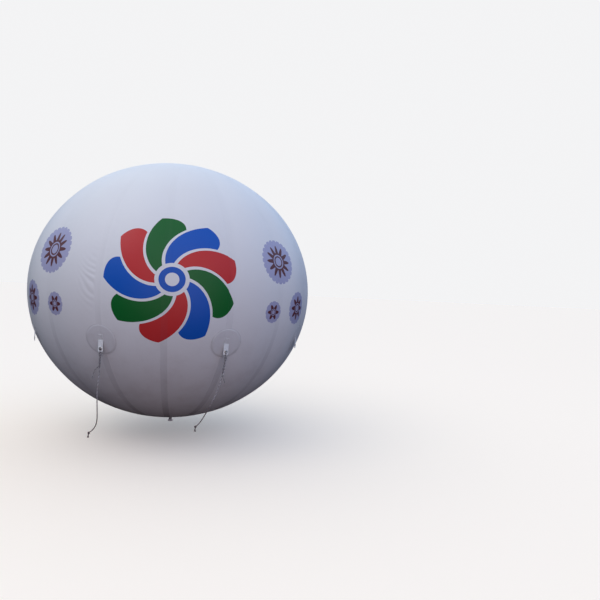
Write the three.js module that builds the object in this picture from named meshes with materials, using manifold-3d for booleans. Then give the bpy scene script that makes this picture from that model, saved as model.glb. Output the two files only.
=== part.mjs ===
// Round advertising sky balloon: sixteen welded gores with caps at both poles, an inflation
// neck, and eight tether tabs on round patches. Four of the tabs carry a short rope.
// Millimetres, +Z up, the origin at the centre of the envelope, and the printed front towards -Y.
import * as THREE from 'three';
import { mergeVertices } from 'three/addons/utils/BufferGeometryUtils.js';
import Module from 'manifold-3d';

const wasm = await Module();
wasm.setup();

// Envelope: an oblate ball, its gores crowned a little between the seams
const WIDTH = 3050;
const HEIGHT = 2836;
const GORES = 16;
const SHELL = 10;
const SEAM_DIP = 12;
const POLE_HOLE_R = 120;
const GORE_ROWS = 18;
const GORE_COLUMNS = 4;
const GAP = 0.3;

// Caps over the gore ends
const CAP_R = 180;
const CAP_THICK = 3;
const CAP_GAP = 0.4;
const CAP_SIDES = 32;

// Inflation neck under the bottom cap, and the cord that ties it shut. The outline runs from
// the mouth up to the sleeve, as [radius, drop below the cap].
const NECK_WAIST_R = 13;
const NECK_OUTLINE = [
  [0, 84], [27, 84], [24, 72], [NECK_WAIST_R, 58], [NECK_WAIST_R, 46], [30, 26], [34, 10],
];
const NECK_FLANGE_R = 62;
const NECK_FLANGE = 2;
const NECK_TIE_DROP = 52;
const NECK_TIE_R = 4;
const NECK_TIE_CORNERS = 6;
const NECK_SIDES = 16;

// Tether points: a round patch on every second seam, with a strap tab that hangs from its middle
const TAB_COUNT = 8;
const TAB_LATITUDE = THREE.MathUtils.degToRad(-18.5);
const PATCH_R = 150;
const PATCH_THICK = 2;
const PATCH_GAP = 0.4;
const PATCH_SIDES = 24;
const ROWS_BELOW = 5;
const ROWS_ABOVE = 2;
const CUTTER_DEPTH = 120;
const TAB_WIDTH = 50;
const TAB_THICK = 4;
const TAB_DROP = 110;
const TAB_WELD = 55;
const TAB_OVERLAP = 8;
const TAB_TOP = 3;
const TAB_CORNER_R = 8;
const TAB_CORNER_STEPS = 3;

// Eyelet: a rolled brass ring, 30 mm above the lower edge of the tab
const EYELET_RISE = 30;
const EYELET_BORE_R = 9;
const EYELET_BARREL_R = 10;
const EYELET_FLANGE_R = 16;
const EYELET_FLANGE = 1;
const EYELET_SIDES = 12;

// Rope: 10 mm line, knotted through the eyelet and doubled back on itself for a short way
const ROPE_R = 5;
const ROPE_SIDES = 8;
const ROPE_STEP = 25;
const HITCH_STEP = 8;
const ROPE_REST = 3.4;
const HITCH_TOP = 40;
const HITCH_BOTTOM = 62;
const HITCH_R = 15;
const TWIST_R = 10.5;
const END_KNOT_R = 13;
const END_KNOT_LENGTH = 34;
const KNOT_ROWS = 6;

const MERGE_DISTANCE = 1e-3;

const HALF_WIDTH = WIDTH / 2;
const HALF_HEIGHT = HEIGHT / 2;
const GORE_ANGLE = 2 * Math.PI / GORES;
const END_LATITUDE = Math.acos(POLE_HOLE_R / HALF_WIDTH);

const MATERIALS = {
  envelope: { color: 0xdcdde6, roughness: 0.38, metalness: 0 },
  patch: { color: 0xd2d2dc, roughness: 0.45, metalness: 0 },
  strap: { color: 0xf2f2f2, roughness: 0.5, metalness: 0 },
  brass: { color: 0x8f8a80, roughness: 0.35, metalness: 1 },
  rope: { color: 0xb9ad9c, roughness: 0.85, metalness: 0 },
};

const balloon = new THREE.Group();

function addMesh(name, geometry, material, turn = 0) {
  const mesh = new THREE.Mesh(geometry, new THREE.MeshStandardMaterial(MATERIALS[material]));
  mesh.name = name;
  mesh.rotation.z = turn;
  balloon.add(mesh);
}

// Solids for joining and cutting

function toSolid(geometry) {
  const bare = geometry.clone();
  bare.deleteAttribute('normal');
  bare.deleteAttribute('uv');
  const merged = mergeVertices(bare, MERGE_DISTANCE);
  return new wasm.Manifold(new wasm.Mesh({
    numProp: 3,
    vertProperties: new Float32Array(merged.attributes.position.array),
    triVerts: new Uint32Array(merged.index.array),
  }));
}

function toGeometry(solid) {
  const mesh = solid.getMesh();
  const geometry = new THREE.BufferGeometry();
  geometry.setAttribute('position', new THREE.BufferAttribute(mesh.vertProperties, 3));
  geometry.setIndex(new THREE.BufferAttribute(mesh.triVerts, 1));
  geometry.computeVertexNormals();
  return geometry;
}

function polygonPoints(radius, sides, x = 0, y = 0) {
  return Array.from({ length: sides }, (_, side) => {
    const angle = 2 * Math.PI * side / sides;
    return new THREE.Vector2(x + radius * Math.cos(angle), y + radius * Math.sin(angle));
  });
}

// Envelope surface: latitude and longitude in radians, longitude 0 on the seam that faces -Y

function crown(longitude) {
  const across = THREE.MathUtils.euclideanModulo(longitude / GORE_ANGLE, 1);
  return Math.sin(Math.PI * across);
}

function surfacePoint(latitude, longitude, offset, slip = 0) {
  const normal = new THREE.Vector2(Math.cos(latitude) / HALF_WIDTH, Math.sin(latitude) / HALF_HEIGHT);
  normal.normalize();
  const dip = SEAM_DIP * Math.cos(latitude) * (1 - crown(longitude));
  const radius = HALF_WIDTH * Math.cos(latitude) - dip + offset * normal.x;
  const height = HALF_HEIGHT * Math.sin(latitude) + offset * normal.y;
  const x = radius * Math.sin(longitude) + slip * Math.cos(longitude);
  const y = -radius * Math.cos(longitude) + slip * Math.sin(longitude);
  return [x, y, height];
}

const ROW_LATITUDES = Array.from(
  { length: GORE_ROWS + 1 },
  (_, row) => END_LATITUDE * (2 * row / GORE_ROWS - 1),
);

// A closed slab between two offsets of the surface, over a run of rows and columns
function slabGeometry(latitudes, firstColumn, lastColumn, inner, outer, edgeSlip = 0) {
  const columns = lastColumn - firstColumn;
  const rows = latitudes.length - 1;
  const positions = [];
  for (const offset of [inner, outer]) {
    for (const latitude of latitudes) {
      for (let column = 0; column <= columns; column++) {
        const longitude = (firstColumn + column) * GORE_ANGLE / GORE_COLUMNS;
        const slip = edgeSlip * ((column === 0) - (column === columns));
        positions.push(...surfacePoint(latitude, longitude, offset, slip));
      }
    }
  }
  const layer = (rows + 1) * (columns + 1);
  const at = (side, row, column) => side * layer + row * (columns + 1) + column;
  const index = [];
  const quad = (a, b, c, d) => index.push(a, b, c, a, c, d);
  for (let row = 0; row < rows; row++) {
    for (let column = 0; column < columns; column++) {
      quad(at(1, row, column), at(1, row, column + 1), at(1, row + 1, column + 1), at(1, row + 1, column));
      index.push(at(0, row, column), at(0, row + 1, column + 1), at(0, row, column + 1));
      index.push(at(0, row, column), at(0, row + 1, column), at(0, row + 1, column + 1));
    }
    quad(at(0, row, 0), at(1, row, 0), at(1, row + 1, 0), at(0, row + 1, 0));
    quad(at(1, row, columns), at(0, row, columns), at(0, row + 1, columns), at(1, row + 1, columns));
  }
  for (let column = 0; column < columns; column++) {
    quad(at(0, 0, column), at(0, 0, column + 1), at(1, 0, column + 1), at(1, 0, column));
    quad(at(1, rows, column), at(1, rows, column + 1), at(0, rows, column + 1), at(0, rows, column));
  }
  const geometry = new THREE.BufferGeometry();
  geometry.setAttribute('position', new THREE.Float32BufferAttribute(positions, 3));
  geometry.setIndex(index);
  geometry.computeVertexNormals();
  return geometry;
}

// Gores: lunes of one cut, turned round the axis

const goreGeometry = slabGeometry(ROW_LATITUDES, 0, GORE_COLUMNS, -SHELL, 0, GAP / 2);
for (let gore = 0; gore < GORES; gore++) {
  const name = `gore_${String(gore + 1).padStart(2, '0')}`;
  addMesh(name, goreGeometry, 'envelope', gore * GORE_ANGLE);
}

// Caps: shallow round covers that follow the envelope over the gore ends

function latheOnZ(profile, sides) {
  const points = profile.map(([radius, height]) => new THREE.Vector2(radius, height));
  const geometry = new THREE.LatheGeometry(points, sides);
  geometry.rotateX(Math.PI / 2);
  return geometry;
}

// The straight run of the gores between their end row and the next, as heights over a radius
const endRow = { radius: POLE_HOLE_R, height: HALF_HEIGHT * Math.sin(END_LATITUDE) };
const nextLatitude = ROW_LATITUDES[GORE_ROWS - 1];
const nextRow = {
  radius: HALF_WIDTH * Math.cos(nextLatitude),
  height: HALF_HEIGHT * Math.sin(nextLatitude),
};
const endSlope = (endRow.height - nextRow.height) / (nextRow.radius - endRow.radius);
const capRimHeight = endRow.height - endSlope * (CAP_R - POLE_HOLE_R);

function capGeometry() {
  const middle = HALF_HEIGHT + CAP_GAP;
  const profile = [
    [0, middle],
    [POLE_HOLE_R, endRow.height + CAP_GAP],
    [CAP_R, capRimHeight + CAP_GAP],
    [CAP_R, capRimHeight + CAP_GAP + CAP_THICK],
    [POLE_HOLE_R, endRow.height + CAP_GAP + CAP_THICK],
    [0, middle + CAP_THICK],
  ];
  return latheOnZ(profile, CAP_SIDES);
}

addMesh('top_cap', capGeometry(), 'patch');
const bottomCap = capGeometry();
bottomCap.rotateX(Math.PI);
addMesh('bottom_cap', bottomCap, 'patch');

// Inflation neck: a welded flange, a short sleeve gathered to a waist, and a flared mouth

const neckTop = -(HALF_HEIGHT + CAP_GAP + CAP_THICK + GAP);
const flangeRise = (HALF_HEIGHT - endRow.height) * NECK_FLANGE_R / POLE_HOLE_R;
const neckProfile = [
  ...NECK_OUTLINE,
  [NECK_FLANGE_R, NECK_FLANGE - flangeRise],
  [NECK_FLANGE_R, -flangeRise],
  [0, 0],
].map(([radius, drop]) => [radius, neckTop - drop]);
addMesh('inflation_neck', latheOnZ(neckProfile, NECK_SIDES), 'patch');

const tieCentreR = NECK_WAIST_R + GAP + NECK_TIE_R;
const tieProfile = [];
for (let corner = 0; corner <= NECK_TIE_CORNERS; corner++) {
  const angle = 2 * Math.PI * corner / NECK_TIE_CORNERS;
  tieProfile.push([
    tieCentreR + NECK_TIE_R * Math.cos(angle),
    neckTop - NECK_TIE_DROP + NECK_TIE_R * Math.sin(angle),
  ]);
}
addMesh('neck_tie', latheOnZ(tieProfile, NECK_SIDES), 'rope');

// Tether points are modelled on the seam that faces -Y, then turned to their own seams

const root = new THREE.Vector3(...surfacePoint(TAB_LATITUDE, 0, 0));
const rootNormal = new THREE.Vector2(
  Math.cos(TAB_LATITUDE) / HALF_WIDTH,
  Math.sin(TAB_LATITUDE) / HALF_HEIGHT,
).normalize();
const outward = new THREE.Vector3(0, -rootNormal.x, rootNormal.y);
const lean = Math.atan2(-rootNormal.y, rootNormal.x);
const slabRows = ROW_LATITUDES.slice(GORE_ROWS / 2 - ROWS_BELOW, GORE_ROWS / 2 + ROWS_ABOVE);

function slabSolid(inner, outer) {
  return toSolid(slabGeometry(slabRows, -GORE_COLUMNS, GORE_COLUMNS, inner, outer));
}

// Patch: a round disc that lies on the two gores it joins
const patchCutter = new THREE.CylinderGeometry(PATCH_R, PATCH_R, CUTTER_DEPTH, PATCH_SIDES);
patchCutter.applyQuaternion(
  new THREE.Quaternion().setFromUnitVectors(new THREE.Vector3(0, 1, 0), outward),
);
patchCutter.translate(root.x, root.y, root.z);
const patchOuter = PATCH_GAP + PATCH_THICK;
const patchSolid = slabSolid(PATCH_GAP, patchOuter).intersect(toSolid(patchCutter));
const patchGeometry = toGeometry(patchSolid);

// Tab: its upper end is welded flat on the patch, and the rest hangs straight down
const weldCutter = new THREE.BoxGeometry(TAB_WIDTH, CUTTER_DEPTH, TAB_WELD + TAB_OVERLAP);
weldCutter.translate(0, 0, (TAB_WELD - TAB_OVERLAP) / 2);
weldCutter.rotateX(lean);
weldCutter.translate(root.x, root.y, root.z);
const weldInner = patchOuter + GAP;
const weldLeg = slabSolid(weldInner, weldInner + TAB_THICK).intersect(toSolid(weldCutter));

const tabPlane = root.y - (weldInner + TAB_THICK / 2) * rootNormal.x;
const tabBottom = root.z - TAB_DROP;
const eyeletHeight = tabBottom + EYELET_RISE;
const tabHalf = TAB_WIDTH / 2;
const tabShape = new THREE.Shape();
tabShape.moveTo(-tabHalf, root.z - TAB_TOP);
tabShape.lineTo(-tabHalf, tabBottom + TAB_CORNER_R);
tabShape.absarc(-tabHalf + TAB_CORNER_R, tabBottom + TAB_CORNER_R, TAB_CORNER_R, Math.PI, 1.5 * Math.PI);
tabShape.absarc(tabHalf - TAB_CORNER_R, tabBottom + TAB_CORNER_R, TAB_CORNER_R, -Math.PI / 2, 0);
tabShape.lineTo(tabHalf, root.z - TAB_TOP);
const tabHoleR = EYELET_BARREL_R + GAP;
tabShape.holes.push(new THREE.Path(polygonPoints(tabHoleR, EYELET_SIDES, 0, eyeletHeight)));
const hangingLeg = new THREE.ExtrudeGeometry(tabShape, {
  depth: TAB_THICK,
  bevelEnabled: false,
  curveSegments: TAB_CORNER_STEPS,
});
hangingLeg.translate(0, 0, -TAB_THICK / 2);
hangingLeg.rotateX(Math.PI / 2);
hangingLeg.translate(0, tabPlane, 0);
const tabGeometry = toGeometry(toSolid(hangingLeg).add(weldLeg));

// Eyelet: a barrel through the tab with a flange on both faces
const flangeInside = TAB_THICK / 2 + GAP;
const flangeOutside = flangeInside + EYELET_FLANGE;
const eyeletGeometry = latheOnZ([
  [EYELET_BORE_R, -flangeOutside],
  [EYELET_FLANGE_R, -flangeOutside],
  [EYELET_FLANGE_R, -flangeInside],
  [EYELET_BARREL_R, -flangeInside],
  [EYELET_BARREL_R, flangeInside],
  [EYELET_FLANGE_R, flangeInside],
  [EYELET_FLANGE_R, flangeOutside],
  [EYELET_BORE_R, flangeOutside],
  [EYELET_BORE_R, -flangeOutside],
], EYELET_SIDES);
eyeletGeometry.rotateX(Math.PI / 2);
eyeletGeometry.translate(0, tabPlane, eyeletHeight);

for (let tab = 0; tab < TAB_COUNT; tab++) {
  const turn = (2 * tab - 1) * GORE_ANGLE;
  addMesh(`patch_${tab + 1}`, patchGeometry, 'patch', turn);
  addMesh(`tab_${tab + 1}`, tabGeometry, 'strap', turn);
  addMesh(`eyelet_${tab + 1}`, eyeletGeometry, 'brass', turn);
}

// Ropes. A route's points are [sideways, outwards, down] from the centre of the eyelet,
// sideways along the seam's own horizontal, before the turn to that seam.

const HITCH_ROUTE = [
  [0, -7, HITCH_TOP + 6], [0, -9.2, 30], [0, -9.6, 18], [0, -9.5, 11], [0, -7.8, 5.6], [0, -3.6, ROPE_REST],
  [0, 3.6, ROPE_REST], [0, 7.8, 5.6], [0, 9.5, 11], [0, 9.6, 18], [0, 9.2, 30], [0, 7, HITCH_TOP + 6],
];

const ROPES = [
  {
    tab: 1,
    route: [
      [0, 0, 62.3], [0, 0, 90], [0, 0, 130], [0, 0, 170], [-2, 0, 208], [-6, 1, 260], [-10, 2, 320],
      [-12, 3, 380], [-11, 3, 440], [-8, 3, 500], [-5, 2, 560], [-4, 1, 610], [-7, 0, 652],
      [-20, -1, 692], [-46, -1, 728], [-82, -1, 758],
    ],
    doubled: [[0, 0, 62.3], [0, 0, 105], [0, 0, 150]],
    tail: [
      [0, 3, 140], [-6, 8, 158], [-18, 10, 171], [-33, 11, 184], [-44, 12, 202], [-50, 12, 224],
      [-55, 11, 248], [-58, 11, 268],
    ],
  },
  {
    tab: 2,
    route: [
      [0, 0, 62.3], [-4, 0, 90], [-10, 0, 130], [-16, 0, 170], [-23, -2, 215], [-34, -4, 263],
      [-48, -8, 312], [-65, -11, 361], [-84, -14, 412], [-107, -18, 462], [-132, -22, 511],
      [-157, -27, 558], [-182, -31, 601], [-206, -35, 638], [-229, -39, 664], [-248, -42, 681],
    ],
    doubled: [[0, 0, 62.3], [-10, 0, 133], [-21, -1, 204]],
    tail: [[-19, 3, 190], [-21, 8, 214], [-17, 10, 236], [-11, 11, 259], [-5, 11, 281]],
  },
  {
    tab: 5,
    route: [
      [0, 0, 62.3], [0, 0, 90], [0, 0, 130], [0, 0, 170], [1, 0, 205], [3, 1, 260], [4, 2, 320],
      [2, 3, 380], [-3, 3, 440], [-8, 3, 500], [-11, 2, 560], [-9, 1, 615], [-2, 0, 665],
      [8, -1, 710], [17, -1, 750], [24, -1, 784],
    ],
    doubled: [[0, 0, 62.3], [0, 0, 130], [0, 0, 195]],
    tail: [[0, 3, 185], [8, 7, 205], [13, 9, 230], [15, 9, 256], [15, 8, 282]],
  },
  {
    tab: 6,
    route: [
      [0, 0, 62.3], [0, 0, 90], [0, 0, 130], [0, 0, 170], [0, 0, 205], [-2, 1, 260], [-5, 2, 320],
      [-7, 3, 380], [-6, 3, 440], [-1, 3, 500], [6, 2, 560], [12, 1, 615], [15, 0, 665],
      [14, -1, 710], [10, -1, 750], [4, -1, 786],
    ],
    doubled: [[0, 0, 62.3], [0, 0, 130], [0, 0, 195]],
    tail: [[0, 3, 185], [-8, 7, 205], [-14, 9, 230], [-16, 9, 258], [-16, 8, 288]],
  },
];

function routePoint([sideways, outwards, down]) {
  return new THREE.Vector3(sideways, tabPlane - outwards, eyeletHeight - down);
}

function tubeSolid(route, radius, step) {
  const curve = new THREE.CatmullRomCurve3(route.map(routePoint));
  const steps = Math.max(2, Math.round(curve.getLength() / step));
  const section = new THREE.Shape(polygonPoints(radius, ROPE_SIDES));
  return toSolid(new THREE.ExtrudeGeometry(section, { steps, extrudePath: curve }));
}

function knotSolid(centre, radius, length) {
  const knot = new THREE.SphereGeometry(radius, ROPE_SIDES, KNOT_ROWS);
  knot.rotateX(Math.PI / 2);
  knot.scale(1, 1, length / (2 * radius));
  const place = routePoint(centre);
  knot.translate(place.x, place.y, place.z);
  return toSolid(knot);
}

// Hitch: the bight through the eyelet and the knot that closes it under the tab
const hitchKnotLength = HITCH_BOTTOM - HITCH_TOP;
const hitchCentre = [0, 0, (HITCH_TOP + HITCH_BOTTOM) / 2];
const hitchGeometry = toGeometry(
  tubeSolid(HITCH_ROUTE, ROPE_R, HITCH_STEP).add(knotSolid(hitchCentre, HITCH_R, hitchKnotLength)),
);

// The hanging line: doubled at the top, with a loose tail beside it and a stopper knot at its end
function ropeSolid({ route, doubled, tail }) {
  const line = tubeSolid(route, ROPE_R, ROPE_STEP);
  const plied = tubeSolid(doubled, TWIST_R, ROPE_STEP);
  const loose = tubeSolid(tail, ROPE_R, ROPE_STEP);
  const knot = knotSolid(route.at(-1), END_KNOT_R, END_KNOT_LENGTH);
  return line.add(plied).add(loose).add(knot);
}

ROPES.forEach((rope, place) => {
  const turn = (2 * (rope.tab - 1) - 1) * GORE_ANGLE;
  addMesh(`hitch_${place + 1}`, hitchGeometry, 'rope', turn);
  addMesh(`rope_${place + 1}`, toGeometry(ropeSolid(rope)), 'rope', turn);
});

export default balloon;
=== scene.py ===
import math

import bpy
import numpy as np
from mathutils import Matrix, Vector


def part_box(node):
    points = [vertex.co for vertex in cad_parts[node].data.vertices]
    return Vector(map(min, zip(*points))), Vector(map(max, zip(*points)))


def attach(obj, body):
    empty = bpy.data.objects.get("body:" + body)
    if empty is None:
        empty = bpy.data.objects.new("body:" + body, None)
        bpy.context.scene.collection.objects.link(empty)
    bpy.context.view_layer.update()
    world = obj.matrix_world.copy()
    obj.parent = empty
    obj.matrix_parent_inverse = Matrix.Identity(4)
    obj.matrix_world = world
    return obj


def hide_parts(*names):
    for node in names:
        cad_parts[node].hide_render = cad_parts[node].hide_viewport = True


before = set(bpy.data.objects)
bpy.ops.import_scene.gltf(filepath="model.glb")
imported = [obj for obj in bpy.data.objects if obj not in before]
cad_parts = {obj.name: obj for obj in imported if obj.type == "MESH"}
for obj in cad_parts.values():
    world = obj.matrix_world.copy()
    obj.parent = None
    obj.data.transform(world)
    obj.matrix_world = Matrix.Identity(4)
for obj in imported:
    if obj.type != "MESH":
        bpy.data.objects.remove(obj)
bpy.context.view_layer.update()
bpy.ops.object.select_all(action="DESELECT")


# Camera. It stands level, six metres in front of the balloon and a little to its right, and
# keeps the balloon in the left half of a square picture.

CAMERA_PLACE = Vector((0.358, -6.161, 0.058))
CAMERA_LOOK = Vector((0.176, 0.984, -0.016))
CAMERA_UP = Vector((-0.044, 0.024, 0.999))

bpy.ops.object.camera_add(location=CAMERA_PLACE)
camera = bpy.context.object
camera.name = "camera"
camera.data.lens = 31.2
camera.data.sensor_width = 36.0
look = CAMERA_LOOK.normalized()
right = look.cross(CAMERA_UP).normalized()
camera.rotation_euler = Matrix((right, right.cross(look), -look)).transposed().to_euler()
bpy.context.scene.camera = camera


# Ropes. Four of the balloon's eight tabs carry a short end of 10 mm laid rope, tied through the
# eyelet and plied with its own tail for a hand's breadth. They hang free, each to a stopper knot.

TURN = 2 * math.pi
GORES = 16
SEAM_ANGLE = TURN / GORES
ROPE_D = 0.010
STRANDS = 3
LAY = 0.034
GROOVE_FLOOR = 0.74
ROPE_SIDES = 18
ROPE_STEP = 0.0028
CURVE_STEPS = 24
END_DOME = 0.25
TWIST_TOP = 0.0623
TWIST_R = 0.0053
TWIST_PITCH = 0.058
TWIST_TURN_POINTS = 12

# Points of (sideways, outwards, down) from the middle of the eyelet, in millimetres. A rope is
# plied with its tail as far as plied_to, which is (sideways, down).
ROPES = [
    {
        "tab": 1, "plied_to": (0, 144),
        "route": [
            (0, 0, 170), (-2, 0, 208), (-6, 1, 260), (-10, 2, 320), (-12, 3, 380),
            (-11, 3, 440), (-8, 3, 500), (-5, 2, 560), (-4, 1, 610), (-7, 0, 652),
            (-20, -1, 692), (-46, -1, 728), (-82, -1, 758),
        ],
        "tail": [
            (-6, 8, 158), (-18, 10, 171), (-33, 11, 184), (-44, 12, 202), (-50, 12, 224),
            (-55, 11, 248), (-58, 11, 268),
        ],
    },
    {
        "tab": 2, "plied_to": (-20, 196),
        "route": [
            (-23, -2, 215), (-34, -4, 263), (-48, -8, 312), (-65, -11, 361), (-84, -14, 412),
            (-107, -18, 462), (-132, -22, 511), (-157, -27, 558), (-182, -31, 601),
            (-206, -35, 638), (-229, -39, 664), (-248, -42, 681),
        ],
        "tail": [(-21, 8, 214), (-17, 10, 236), (-11, 11, 259), (-5, 11, 281)],
    },
    {
        "tab": 5, "plied_to": (0, 182),
        "route": [
            (1, 0, 205), (3, 1, 260), (4, 2, 320), (2, 3, 380), (-3, 3, 440), (-8, 3, 500),
            (-11, 2, 560), (-9, 1, 615), (-2, 0, 665), (8, -1, 710), (17, -1, 750),
            (24, -1, 784),
        ],
        "tail": [(8, 7, 205), (13, 9, 230), (15, 9, 256), (15, 8, 282)],
    },
    {
        "tab": 6, "plied_to": (0, 182),
        "route": [
            (0, 0, 205), (-2, 1, 260), (-5, 2, 320), (-7, 3, 380), (-6, 3, 440), (-1, 3, 500),
            (6, 2, 560), (12, 1, 615), (15, 0, 665), (14, -1, 710), (10, -1, 750), (4, -1, 786),
        ],
        "tail": [(-8, 7, 205), (-14, 9, 230), (-16, 9, 258), (-16, 8, 288)],
    },
]


def tab_turn(tab):
    """The angle of a tab's seam round the balloon, from the front."""
    return (2 * tab - 3) * SEAM_ANGLE


def tab_axes(tab):
    """Sideways and outwards at a tab."""
    turn = tab_turn(tab)
    sideways = np.array((math.cos(turn), math.sin(turn), 0.0))
    return sideways, np.array((sideways[1], -sideways[0], 0.0))


def eyelet_middle(tab):
    low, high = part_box(f"eyelet_{tab}")
    return (low + high) / 2


def at_eyelet(tab, points):
    """Points of (sideways, outwards, down) from a tab's eyelet, in the balloon's own frame."""
    axes = np.array((*tab_axes(tab), (0.0, 0.0, -1.0)))
    return np.array(eyelet_middle(tab)) + np.asarray(points) @ axes


def metres(points):
    """Points of a table that is in millimetres."""
    return np.array(points) / 1000


def distances(line):
    """How far along a line each of its points is."""
    return np.concatenate(([0.0], np.cumsum(np.linalg.norm(np.diff(line, axis=0), axis=1))))


def smooth_route(points, spacing):
    """A smooth line through points, as points that are evenly spaced along it."""
    ends = np.vstack((2 * points[0] - points[1], points, 2 * points[-1] - points[-2]))
    share = np.linspace(0, 1, CURVE_STEPS, endpoint=False)[:, None]
    line = []
    for before, start, end, after in zip(ends, ends[1:], ends[2:], ends[3:]):
        bend = 2 * before - 5 * start + 4 * end - after
        twist = 3 * (start - end) + after - before
        line.append(start + 0.5 * share * (end - before + share * (bend + share * twist)))
    line = np.vstack((*line, points[-1:]))
    along = distances(line)
    places = np.linspace(0, along[-1], max(3, round(along[-1] / spacing) + 1))
    return np.stack([np.interp(places, along, line[:, axis]) for axis in range(3)], axis=1)


def strand_section(sides, strands):
    """The outline of laid strands, as shares of the rope's radius: round backs with grooves."""
    if strands < 2:
        return np.ones(sides)
    middle = 1 / (1 + math.sin(math.pi / strands))
    off = (np.arange(sides) / sides * strands % 1 - 0.5) * TURN / strands
    back = np.sqrt(np.maximum((1 - middle) ** 2 - (middle * np.sin(off)) ** 2, 0))
    return np.maximum(middle * np.cos(off) + back, GROOVE_FLOOR)


def swept(name, line, radius, sides=ROPE_SIDES, strands=STRANDS, lay=LAY, ends=1.0):
    """A closed rope along a line. Its UV map is round it, with the strands, and along it."""
    tangents = np.gradient(line, axis=0)
    tangents /= np.linalg.norm(tangents, axis=1)[:, None]
    along = distances(line)
    side = np.cross(tangents[0], (0.31, 0.87, 0.38))
    outline = strand_section(sides, strands)
    turns = TURN * np.arange(sides) / sides
    verts = []
    for point, tangent, far in zip(line, tangents, along):
        side = side - side @ tangent * tangent
        side /= np.linalg.norm(side)
        other = np.cross(tangent, side)
        angle = (turns + TURN * far / lay)[:, None]
        size = (radius * outline * (ends if far in (0.0, along[-1]) else 1.0))[:, None]
        verts.extend(point + size * (np.cos(angle) * side + np.sin(angle) * other))
    last = len(verts) - sides
    verts.append(line[0] - tangents[0] * radius * END_DOME)
    verts.append(line[-1] + tangents[-1] * radius * END_DOME)
    faces, marks = [], []
    for ring in range(len(line) - 1):
        start, end = ring * sides, (ring + 1) * sides
        for corner in range(sides):
            after = (corner + 1) % sides
            faces.append((start + corner, start + after, end + after, end + corner))
            for share, row in ((0, ring), (1, ring), (1, ring + 1), (0, ring + 1)):
                marks.append(((corner + share) / sides, along[row]))
    for corner in range(sides):
        after = (corner + 1) % sides
        faces.append((last + sides, after, corner))
        faces.append((last + sides + 1, last + corner, last + after))
        marks += [(corner / sides, 0.0)] * 3 + [(corner / sides, along[-1])] * 3
    mesh = bpy.data.meshes.new(name)
    mesh.from_pydata([tuple(vert) for vert in verts], [], faces)
    mesh.uv_layers.new(name="rope").data.foreach_set("uv", np.array(marks, np.float32).ravel())
    rope = bpy.data.objects.new(name, mesh)
    bpy.context.collection.objects.link(rope)
    pick(rope)
    bpy.ops.object.shade_smooth()
    return rope


def pick(*objects):
    """Selects these objects alone, with the first active."""
    bpy.ops.object.select_all(action="DESELECT")
    for chosen in objects:
        chosen.select_set(True)
    bpy.context.view_layer.objects.active = objects[0]


def joined(name, objects):
    """Several meshes as one piece."""
    pick(*objects)
    bpy.ops.object.join()
    objects[0].name = objects[0].data.name = name
    return objects[0]


# Shader maths. A Wire is a node's output, and arithmetic on it adds Math nodes to its tree.

class Wire:
    def __init__(self, tree, output=None):
        self.tree = tree
        self.output = output

    def node(self, kind, settings, sockets, result=0):
        """Adds a node of any type, and gives its numbered or named result."""
        made = self.tree.nodes.new(kind)
        for name, value in settings.items():
            if name == "stops":
                set_stops(made.color_ramp, value)
            else:
                setattr(made, name, value)
        connect(self.tree, made, sockets)
        return Wire(self.tree, made.outputs[result])

    def math(self, operation, *others):
        """A Math node on this wire and any others, in that order."""
        sockets = dict(enumerate((self, *others)))
        return self.node("ShaderNodeMath", {"operation": operation}, sockets)

    def __add__(self, other):
        return self.math("ADD", other)

    def __sub__(self, other):
        return self.math("SUBTRACT", other)

    def __rsub__(self, other):
        return self.math("MULTIPLY_ADD", -1.0, other)

    def __mul__(self, other):
        return self.math("MULTIPLY", other)

    def __truediv__(self, other):
        return self.math("DIVIDE", other)

    def __pow__(self, other):
        return self.math("POWER", other)

    __radd__ = __add__
    __rmul__ = __mul__


def set_stops(ramp, stops):
    """Gives a colour ramp its stops, as (place, colour)."""
    while len(ramp.elements) < len(stops):
        ramp.elements.new(0.5)
    for element, (place, colour) in zip(ramp.elements, stops):
        element.position = place
        element.color = (*colour, 1.0)


def connect(tree, node, sockets):
    """Links a node's sockets to wires, or sets their values."""
    for name, value in sockets.items():
        socket = node.inputs[name]
        if isinstance(value, Wire):
            tree.links.new(value.output, socket)
        elif socket.type == "RGBA":
            socket.default_value = (*value, 1.0)
        else:
            socket.default_value = value


def step(value, start, end):
    """0 below start and 1 above end, with a smooth rise between them."""
    sockets = {"Value": value, "From Min": start, "From Max": end}
    return value.node("ShaderNodeMapRange", {"interpolation_type": "SMOOTHSTEP"}, sockets)


def paint(mask, under, over):
    """One colour over another, by a mask."""
    return mask.node("ShaderNodeMix", {"data_type": "RGBA"}, {0: mask, 6: under, 7: over}, 2)


def noise(place, scale, detail, roughness=0.55):
    sockets = {"Vector": place, "Scale": scale, "Detail": detail, "Roughness": roughness}
    return place.node("ShaderNodeTexNoise", {}, sockets)


def axes_of(place):
    """The x, y and z of a vector."""
    split = place.node("ShaderNodeSeparateXYZ", {}, {0: place})
    return [Wire(split.tree, output) for output in split.output.node.outputs]


def new_material(name):
    """A material, and the object coordinates that its patterns read."""
    material = bpy.data.materials.new(name)
    material.use_nodes = True
    return material, Wire(material.node_tree).node("ShaderNodeTexCoord", {}, {}, "Object")


def uv_of(place, name):
    """The across and along of one of a piece's UV maps, in metres."""
    return axes_of(place.node("ShaderNodeUVMap", {"uv_map": name}, {}))[:2]


def bump(height, distance, strength=1.0):
    sockets = {"Height": height, "Distance": distance, "Strength": strength}
    return height.node("ShaderNodeBump", {}, sockets)


def waves(value, pitch):
    """Even waves from -1 to 1."""
    return (value * (TURN / pitch)).math("SINE")


def shade(material, sockets):
    """Sets what the material's surface shader gets."""
    connect(material.node_tree, material.node_tree.nodes["Principled BSDF"], sockets)
    return material


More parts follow.
